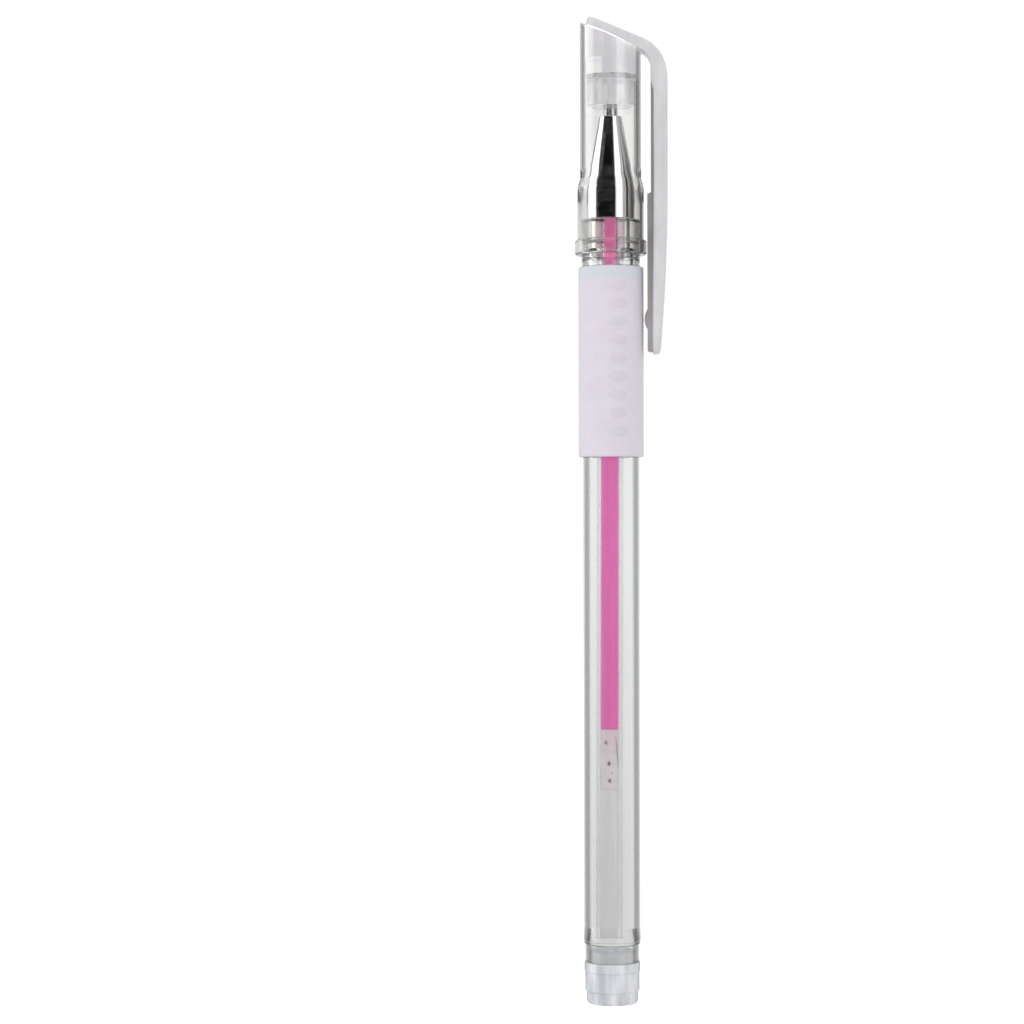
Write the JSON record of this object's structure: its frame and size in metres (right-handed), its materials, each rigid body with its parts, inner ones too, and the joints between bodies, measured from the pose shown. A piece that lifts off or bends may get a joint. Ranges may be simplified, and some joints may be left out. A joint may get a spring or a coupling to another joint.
{
  "type": "fabric marking pen",
  "caption": "Capped gel marking pen with a clear barrel and cap, a pocket clip, a soft grip sleeve, a plated nose cone, a pink ink refill and a push-in end plug.",
  "frame": {"origin": "centre of the end plug's flat rear face", "axes": "+Z along the pen from the end plug to the cap, +X from the pen's axis to the pocket clip"},
  "size_m": [0.0141, 0.0108, 0.1498],
  "materials": {
    "clear_barrel": "clear injection-moulded polystyrene, polished",
    "clear_cap": "clear injection-moulded polystyrene, polished",
    "pearl_plastic": "milky translucent plastic, satin gloss",
    "grip_rubber": "frosted translucent soft rubber",
    "frosted_plug": "frosted translucent plastic",
    "cone_metal": "mirror-plated metal",
    "tube_plastic": "thin clear extruded tube",
    "holder_plastic": "milky moulded plastic",
    "tip_metal": "turned nickel silver",
    "ball_metal": "ground hard metal ball",
    "pink_ink": "opaque pink gel ink",
    "grease": "cloudy translucent follower grease",
    "seal_plastic": "soft translucent seal",
    "pad_rubber": "soft elastomer pad"
  },
  "bodies": {
    "barrel": {"barrel": "clear_barrel", "grip_sleeve": "grip_rubber"},
    "end_plug": {"end_plug": "frosted_plug"},
    "refill": {"refill_tube": "tube_plastic", "tip_holder": "holder_plastic", "writing_tip": "tip_metal", "ink_column": "pink_ink", "ink_feed": "pink_ink"},
    "follower": {"follower_grease": "grease"},
    "ball": {"tip_ball": "ball_metal"},
    "nose_cone": {"nose_cone": "cone_metal"},
    "cap": {"cap_tube": "clear_cap", "cap_head": "pearl_plastic", "inner_cap": "seal_plastic", "seal_pad": "pad_rubber"},
    "clip": {"clip_arm": "pearl_plastic"}
  },
  "joints": [
    {"name": "plug_pull", "type": "slide", "parent": "barrel", "child": "end_plug", "axis": [0, 0, -1], "range_m": [0, 0.008]},
    {"name": "refill_travel", "type": "slide", "parent": "barrel", "child": "refill", "axis": [0, 0, 1], "range_m": [0, 0.004]},
    {"name": "cone_screw", "type": "hinge", "parent": "refill", "child": "nose_cone", "pos_m": [0, 0, 0.12], "axis": [0, 0, 1], "range_deg": [0, 1440]},
    {"name": "ink_use", "type": "slide", "parent": "refill", "child": "follower", "axis": [0.0037, 0, 1], "range_m": [0, 0.062], "deforming": ["ink_column"]},
    {"name": "ball_roll", "type": "hinge", "parent": "refill", "child": "ball", "pos_m": [0.00002, 0, 0.13875], "axis": [0, 1, 0], "continuous": true},
    {"name": "cap_pull", "type": "slide", "parent": "refill", "child": "cap", "axis": [0, 0, 1], "range_m": [0, 0.03]},
    {"name": "clip_flex", "type": "hinge", "parent": "cap", "child": "clip", "pos_m": [0.00862, 0, 0.139], "axis": [0, -1, 0], "range_deg": [0, 5], "stiffness_Nm_per_rad": 0.6}
  ],
  "couplings": [
    {"joint": "cone_screw", "follows": "refill_travel", "rad_per_m": 6283.2}
  ]
}
